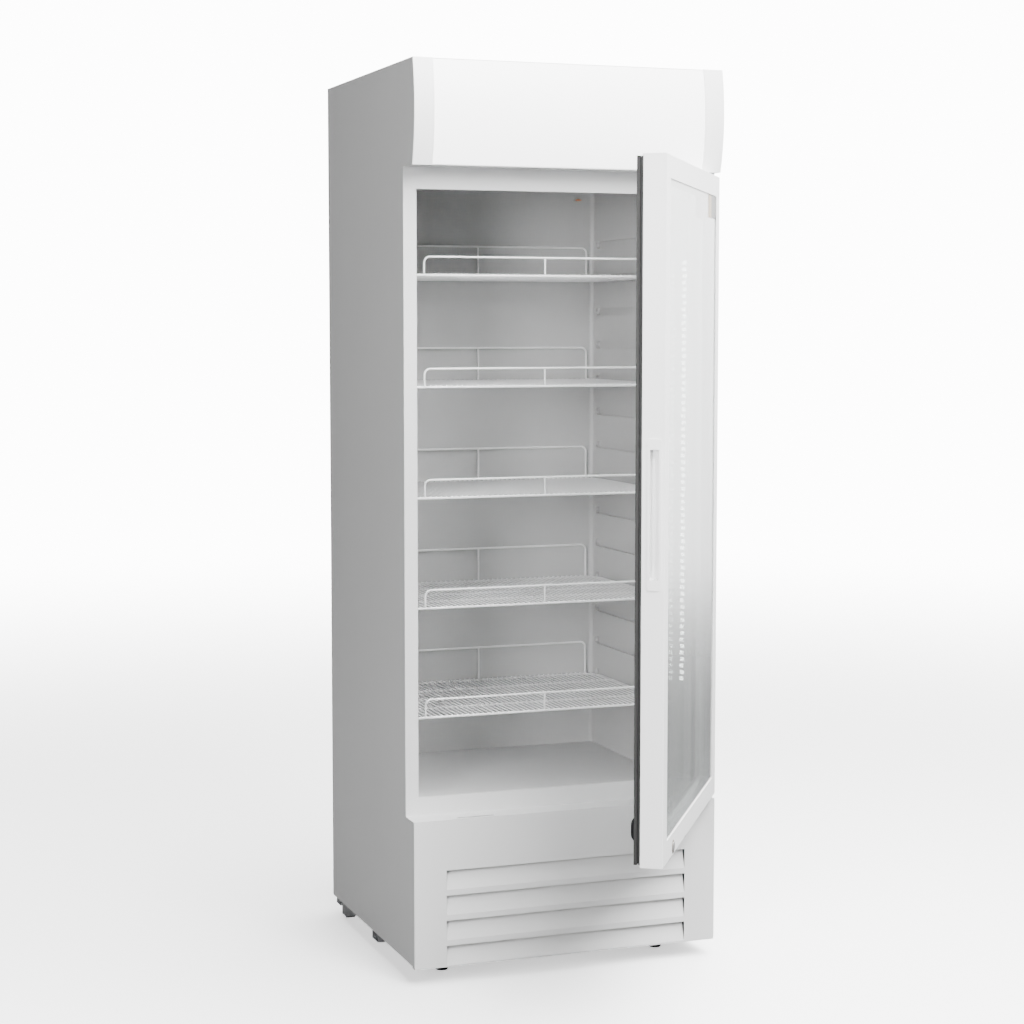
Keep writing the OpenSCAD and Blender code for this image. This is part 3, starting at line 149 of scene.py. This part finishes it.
# Room: plain white where the camera looks straight at it. For all other light it is dim, with
# one bright wall behind the cabinet's right, which the door's glass mirrors.
backdrop_strength = 13
dim_wall, bright_wall = 0.08, 8.0
bright_side = (0.52, 0.75, 0.41)
bright_from, bright_to = 0.75, 1.0
world = bpy.data.worlds.new("studio")
bpy.context.scene.world = world
world.use_nodes = True
room = world.node_tree
backdrop = room.nodes["Background"]
backdrop.inputs["Strength"].default_value = backdrop_strength
walls = room.nodes.new("ShaderNodeBackground")
toward = room.nodes.new("ShaderNodeTexCoord")
aside = room.nodes.new("ShaderNodeVectorMath")
aside.operation = "DOT_PRODUCT"
aside.inputs[1].default_value = bright_side
glow = room.nodes.new("ShaderNodeMapRange")
glow.inputs["From Min"].default_value = bright_from
glow.inputs["From Max"].default_value = bright_to
glow.inputs["To Min"].default_value = dim_wall
glow.inputs["To Max"].default_value = bright_wall
path = room.nodes.new("ShaderNodeLightPath")
either = room.nodes.new("ShaderNodeMixShader")
for output, socket in ((toward.outputs["Generated"], aside.inputs[0]),
                       (aside.outputs["Value"], glow.inputs["Value"]),
                       (glow.outputs[0], walls.inputs["Strength"]),
                       (path.outputs["Is Camera Ray"], either.inputs["Fac"]),
                       (walls.outputs[0], either.inputs[1]),
                       (backdrop.outputs[0], either.inputs[2]),
                       (either.outputs[0], room.nodes["World Output"].inputs["Surface"])):
    room.links.new(output, socket)
for background in (backdrop, walls):
    background.inputs["Color"].default_value = (1, 1, 1, 1)


# Lamps: a soft key above the front for the canopy, a narrow fill from the left for the side
# panel and the door's end, and a broad overhead box that gives the floor its soft shadow.
def softbox(name, place, target, width, height, watts):
    lamp = bpy.data.objects.new(name, bpy.data.lights.new(name, "AREA"))
    lamp.data.shape = "RECTANGLE"
    lamp.data.size = width
    lamp.data.size_y = height
    lamp.data.energy = watts
    lamp.location = place
    lamp.rotation_euler = (Vector(target) - Vector(place)).to_track_quat("-Z", "Y").to_euler()
    bpy.context.collection.objects.link(lamp)


softbox("key", (0.4, -3.2, 3.4), (0, 0, 1.5), 1.8, 1.8, 300)
softbox("fill", (-3.0, -3.5, 1.7), (0, 0, 1.2), 0.8, 1.6, 190)
softbox("overhead", (1.6, -1.4, 5.5), (0, 0, 0.2), 5.0, 5.0, 1500)


# Base: a welded tray of galvanised sheet with folded cross rails, which carries everything.
# Two pressed brackets of the same sheet hold the rear rollers, and the slotted cover and the
# back panel close the rear. The spangle of the zinc shows on all of them.
def dress(finish, *names):
    for name in names:
        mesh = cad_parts[name].data
        mesh.materials.clear()
        mesh.materials.append(finish.material)


zinc = Finish("galvanised")
spangle = zinc.node("ShaderNodeTexVoronoi", None, {"Vector": zinc.place, "Scale": 60}, "Color")
grain = zinc.node("ShaderNodeSeparateColor", None, {"Color": spangle}, 0)
zinc.set(Base_Color=zinc.mix(grain, (0.45, 0.46, 0.47), (0.66, 0.67, 0.68)),
         Metallic=1.0, Roughness=0.32 + 0.2 * grain)
dress(zinc, "base_frame", "roller_brackets", "rear_cover", "back_panel")

# Feet and rollers: two glass-filled black feet that screw into the tray's front corners, and
# two moulded grey rollers on steel pins at the rear.
black = Finish("black_plastic")
black.set(Base_Color=black.mix(black.noise(50, 3), (0.012, 0.012, 0.013), (0.022, 0.022, 0.024)),
          Roughness=0.42 + 0.1 * black.noise(200, 2), Specular_IOR_Level=0.2)
dress(black, "foot_left", "foot_right")

grey = Finish("grey_plastic")
grey.set(Base_Color=grey.mix(grey.noise(30, 3), (0.12, 0.12, 0.12), (0.2, 0.2, 0.2)), Roughness=0.5)
dress(grey, "roller_left", "roller_right")

# Cooling machine: a pressed steel compressor and a finned condenser, both in black enamel, on
# the base tray. The compressor stands on four moulded rubber mounts. A moulded fan in a
# galvanised mount draws air through the condenser, and a folded pan below it catches the melt.
enamel = Finish("dark_paint")
enamel.set(Base_Color=enamel.mix(enamel.noise(20, 3), (0.03, 0.03, 0.03), (0.06, 0.06, 0.06)),
           Roughness=0.4)
dress(enamel, "compressor", "condenser")

rubber = Finish("rubber")
rubber.set(Base_Color=rubber.mix(rubber.noise(30, 3), (0.010, 0.010, 0.010), (0.02, 0.02, 0.02)),
           Roughness=0.5 + 0.15 * rubber.noise(120, 3))
dress(rubber, "compressor_mounts")
dress(zinc, "condenser_fan_mount", "drip_pan")
dress(grey, "condenser_fan_blades", "drain_tube")

# Pipes: drawn copper tube, bent and brazed, with the filter drier of spun copper in the line
# and the small sensor on the back wall of the liner.
copper = Finish("copper")
copper.set(Base_Color=copper.mix(copper.noise(60, 3), (0.72, 0.35, 0.2), (0.85, 0.5, 0.34)),
           Metallic=1.0, Roughness=0.3)
dress(copper, "refrigerant_pipes", "filter_drier", "temperature_probe")

# Controls: a moulded black box behind the front panel, the black bezel and knob in front of it,
# and a black gland in the rear cover where the lead comes out.
dress(black, "control_box", "control_bezel", "thermostat_knob", "cord_gland")

# Insulation: polyurethane foam blown in between the liner and the casing.
# It is pale yellow where it can be seen, with fine pores.
foam = Finish("foam")
foam.set(Base_Color=foam.mix(foam.noise(90, 4), (0.62, 0.52, 0.28), (0.78, 0.70, 0.45)), Roughness=0.9)
dress(foam, "insulation_foam")

# Liner: a vacuum-formed shell of grey-white plastic with the grooves for the shelves in its
# side walls. The evaporator's cover under the ceiling is formed from the same sheet.
liner = Finish("liner_plastic")
liner.set(Base_Color=liner.mix(liner.noise(2, 3), (0.50, 0.50, 0.50), (0.54, 0.54, 0.54)),
          Roughness=0.36 + 0.08 * liner.noise(20, 3),
          Normal=liner.bump(liner.noise(700, 2), 0.00005, 0.4))
dress(liner, "liner_left", "liner_right", "liner_back", "liner_ceiling", "liner_floor",
      "evaporator_cover")

# Evaporator and light strip: a block of aluminium fins with a small enamelled fan motor and
# moulded blades, hung under the ceiling, and an extruded channel screwed to the right wall.
aluminium = Finish("aluminium")
along_grain = aluminium.node("ShaderNodeMapping", None,
                             {"Vector": aluminium.place, "Scale": (30, 30, 1)})
brush = aluminium.noise(40, 3, 0.6, along_grain)
aluminium.set(Base_Color=aluminium.mix(brush, (0.62, 0.62, 0.63), (0.8, 0.8, 0.81)), Metallic=1.0,
              Roughness=0.25 + 0.2 * brush)
dress(aluminium, "evaporator_coil", "led_channel")
dress(enamel, "evaporator_fan_motor")
dress(grey, "evaporator_fan_blades")

# Lenses: small moulded caps over the diodes of the strip, lit. They look much brighter
# through the door's glass than the light they give the cabinet, as a diode's small beam does.
lens = Finish("led_lens")
through_glass = lens.node("ShaderNodeLightPath", out="Is Transmission Ray")
lens.set(Base_Color=lens.mix(lens.noise(200, 2), (0.93, 0.93, 0.88), (0.96, 0.96, 0.92)), Roughness=0.3,
         Emission_Color=lens.mix(through_glass, (0.04, 0.04, 0.04), (1, 1, 1)), Emission_Strength=160.0)
dress(lens, "led_lenses")

# Shelves: steel wires, welded into a deck with guards in front and behind, then dipped in
# white plastic. They rest in the grooves of the liner.
wire = Finish("coated_wire")
wire.set(Base_Color=wire.mix(wire.noise(40, 2), (0.90, 0.90, 0.90), (0.94, 0.94, 0.94)), Roughness=0.3)
dress(wire, *(f"shelf_{number}" for number in range(1, 6)))

# Casing: pressed steel sheet, primed and powder-coated white with a fine orange peel. The sides,
# roof, face frame and louvred front panel hook together round the foam. The box of the canopy is
# folded from the same sheet.
paint = Finish("white_powder_coat")
paint.set(Base_Color=paint.mix(paint.noise(2.5, 3), (0.66, 0.66, 0.66), (0.70, 0.70, 0.70)),
          Roughness=0.34 + 0.08 * paint.noise(14, 4),
          Normal=paint.bump(paint.noise(900, 2), 0.00004, 0.5))
dress(paint, "side_panel_left", "side_panel_right", "roof_panel", "face_frame", "grille_panel",
      "canopy_box")

# Canopy panel: a curved sheet of opal acrylic, softly lit by the lamp behind it. It slides into
# slots in the two moulded ends.
opal = Finish("opal_acrylic")
opal.set(Base_Color=opal.mix(opal.noise(3, 3), (0.90, 0.90, 0.90), (0.93, 0.93, 0.93)),
         Roughness=0.3, Normal=opal.bump(opal.noise(30, 2), 0.00006, 0.3),
         Emission_Color=(1, 1, 1), Emission_Strength=2.4)
dress(opal, "canopy_panel")

# White mouldings: the canopy's ends and the cover of its lamp, and the door's stiles, rails
# and handle insert, all of satin white plastic with a faint grain.
moulded = Finish("white_moulding")
moulded.set(Base_Color=moulded.mix(moulded.noise(4, 3), (0.92, 0.92, 0.92), (0.95, 0.95, 0.95)),
            Roughness=0.3 + 0.06 * moulded.noise(40, 3),
            Normal=moulded.bump(moulded.noise(1500, 2), 0.00003, 0.4))
dress(moulded, "canopy_ends", "canopy_lamp", "door_top_rail", "door_bottom_rail",
      "door_latch_stile", "door_hinge_stile", "handle_insert")

# Glazing: two panes of float glass with a hollow aluminium spacer bar between them, held in the
# door's grooves. A soft rubber gasket is pushed into the groove behind.
glass = Finish("float_glass")
glass.set(Base_Color=(0.95, 0.98, 0.97), Roughness=0.0, Transmission_Weight=1.0, IOR=1.45)
dress(glass, "glass_outer", "glass_inner")
dress(aluminium, "glass_spacer")
dress(rubber, "door_gasket")

# Hinges and lock: pressed galvanised brackets with their pins, nickel-plated screws, and a
# nickel-plated barrel lock turned from brass.
nickel = Finish("nickel")
nickel.set(Base_Color=nickel.mix(nickel.noise(80, 2), (0.6, 0.59, 0.57), (0.75, 0.74, 0.72)),
           Metallic=1.0, Roughness=0.22)
dress(zinc, "hinge_brackets")
dress(nickel, "hinge_screws", "lock_barrel")

# Badge: a thin two-colour plate of printed plastic with nothing on it, stuck to the outer glass
# in the top corner on the hinge side. Each part is a block with its edges broken. Places on the
# door are given from its hinge edge and its outer face, as when it is shut.
door_angle = 56.3
pin_in, pin_back = 0.015, 0.021
hinge_edge = (Matrix.Translation((front_high.x - pin_in, face + pin_back, 0))
              @ Matrix.Rotation(math.radians(door_angle), 4, "Z")
              @ Matrix.Translation((pin_in, -pin_back, 0)))


def on_door(name, finish, build):
    shape = bmesh.new()
    build(shape)
    bmesh.ops.transform(shape, matrix=hinge_edge, verts=shape.verts)
    mesh = bpy.data.meshes.new(name)
    shape.to_mesh(mesh)
    shape.free()
    mesh.materials.append(finish.material)
    piece = bpy.data.objects.new(name, mesh)
    bpy.context.collection.objects.link(piece)
    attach(piece, "door")


def badge_part(from_hinge, to_hinge):
    low = Vector((-from_hinge, badge_front, badge_low))
    high = Vector((-to_hinge, badge_back, badge_high))

    def build(shape):
        bmesh.ops.create_cube(shape, size=1, matrix=Matrix.LocRotScale((low + high) / 2, None, high - low))
        bmesh.ops.bevel(shape, geom=shape.edges, offset=broken_edge, affect="EDGES", segments=2,
                        profile=0.5, material=-1)
    return build


badge_low, badge_high = 1.583, 1.634
badge_front, badge_back = 0.0010, 0.0019
badge_near, badge_seam, badge_far = 0.037, 0.105, 0.148
seam_gap = broken_edge = 0.0002
badge_black = Finish("badge_black")
badge_black.set(Base_Color=badge_black.mix(badge_black.noise(60, 2), (0.010, 0.010, 0.010),
                                           (0.016, 0.016, 0.016)), Roughness=0.3)
badge_tan = Finish("badge_tan")
badge_tan.set(Base_Color=badge_tan.mix(badge_tan.noise(60, 2), (0.36, 0.27, 0.17), (0.42, 0.32, 0.21)),
              Roughness=0.35)
on_door("badge_plate", badge_black, badge_part(badge_seam, badge_near))
on_door("badge_band", badge_tan, badge_part(badge_far, badge_seam + seam_gap))

# Lock ring: a turned escutcheon of bronzed brass round the lock, pressed on the door's bottom
# rail, and a small dark disc on the rail above it.
lock_low, lock_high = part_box("lock_barrel")
lock_from_hinge = 0.561
lock_height = (lock_low.z + lock_high.z) / 2
ring_bore, ring_crest, ring_slope, ring_rim = 0.0108, 0.0113, 0.0127, 0.0134
ring_lift = 0.0001
disc_from_hinge, disc_height = 0.4136, 0.3517
bronze = Finish("bronzed_brass")
bronze.set(Base_Color=bronze.mix(bronze.noise(300, 2), (0.09, 0.05, 0.03), (0.16, 0.10, 0.06)),
           Metallic=1.0, Roughness=0.35)


def lock_ring(shape):
    section = [(ring_bore, 0), (ring_bore, -0.0009), (ring_crest, -0.0013), (ring_slope, -0.0013),
               (ring_rim, -0.0007), (ring_rim, 0)]
    corners = [shape.verts.new((radius - lock_from_hinge, depth - ring_lift, lock_height))
               for radius, depth in section]
    edges = [shape.edges.new(pair) for pair in zip(corners, corners[1:] + corners[:1])]
    bmesh.ops.spin(shape, geom=corners + edges, cent=(-lock_from_hinge, 0, lock_height), axis=(0, 1, 0),
                   angle=math.tau, steps=48, use_merge=True)
    bmesh.ops.recalc_face_normals(shape, faces=shape.faces)


# A small dark disc on the rail's outer face above the lock, darker than the rail around it.
def dark_rail_disc(shape):
    place = Matrix.Translation((-disc_from_hinge, -0.0005, disc_height))
    facing_out = Matrix.Rotation(math.radians(90), 4, "X")
    bmesh.ops.create_cone(shape, cap_ends=True, segments=24, radius1=0.0026, radius2=0.0022,
                          depth=0.0008, matrix=place @ facing_out)


on_door("lock_ring", bronze, lock_ring)
on_door("dark_rail_disc", badge_black, dark_rail_disc)
